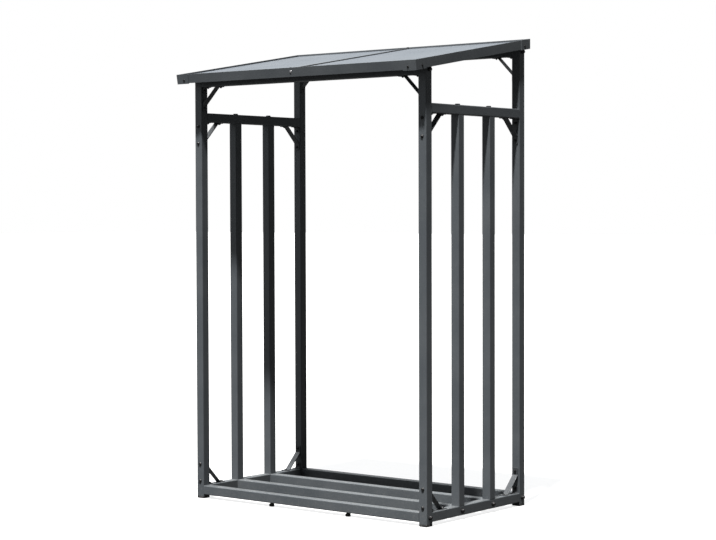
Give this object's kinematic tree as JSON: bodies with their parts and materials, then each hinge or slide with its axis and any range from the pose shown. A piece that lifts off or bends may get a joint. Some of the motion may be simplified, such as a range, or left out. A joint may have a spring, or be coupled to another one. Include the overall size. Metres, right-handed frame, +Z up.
{
  "type": "open steel log store with a lean-to roof",
  "caption": "Free-standing open steel frame for stacking firewood, with slatted sides, knee braces, a floor of bars and a shallow lean-to roof.",
  "frame": {"origin": "on the ground, at the middle of the overall width and depth (roof included)", "axes": "+Z up, +X along the wide front towards the right-hand side as seen from the front, +Y towards the back, where the roof is highest"},
  "size_m": [1.21, 0.7586, 1.8511],
  "materials": {
    "painted_steel": "anthracite powder coat with a fine texture",
    "roof_sheet": "smooth anthracite coated sheet, semi-gloss",
    "black_plastic": "matt moulded plastic",
    "bolt_steel": "black-coated domed bolt heads, semi-gloss"
  },
  "bodies": {
    "root": {"post_front_left": "painted_steel", "post_front_right": "painted_steel", "post_back_left": "painted_steel", "post_back_right": "painted_steel", "post_feet": "black_plastic", "base_rail_front": "painted_steel", "base_rail_back": "painted_steel", "base_rail_left": "painted_steel", "base_rail_right": "painted_steel", "floor_bar_front": "painted_steel", "floor_bar_rear": "painted_steel", "base_feet": "black_plastic", "side_rail_left": "painted_steel", "side_rail_right": "painted_steel", "left_slat_front": "painted_steel", "left_slat_rear": "painted_steel", "right_slat_front": "painted_steel", "right_slat_rear": "painted_steel", "top_beam_front": "painted_steel", "top_beam_back": "painted_steel", "front_top_braces": "painted_steel", "back_top_braces": "painted_steel", "left_top_braces": "painted_steel", "right_top_braces": "painted_steel", "left_base_braces": "painted_steel", "right_base_braces": "painted_steel", "top_angles": "painted_steel", "side_angles": "painted_steel", "base_angles": "painted_steel", "rafter_left": "painted_steel", "rafter_middle": "painted_steel", "rafter_right": "painted_steel", "roof_sheet_left": "roof_sheet", "roof_sheet_right": "roof_sheet", "roof_seam_strip": "painted_steel", "fascia_front": "painted_steel", "fascia_back": "painted_steel", "fascia_left": "painted_steel", "fascia_right": "painted_steel", "roof_corner_caps": "painted_steel", "frame_bolts": "bolt_steel", "floor_bar_bolts": "bolt_steel", "slat_bolts": "bolt_steel", "post_bolts": "bolt_steel", "top_brace_bolts": "bolt_steel", "side_brace_bolts": "bolt_steel", "base_brace_bolts": "bolt_steel", "roof_screws": "bolt_steel"}
  },
  "joints": []
}
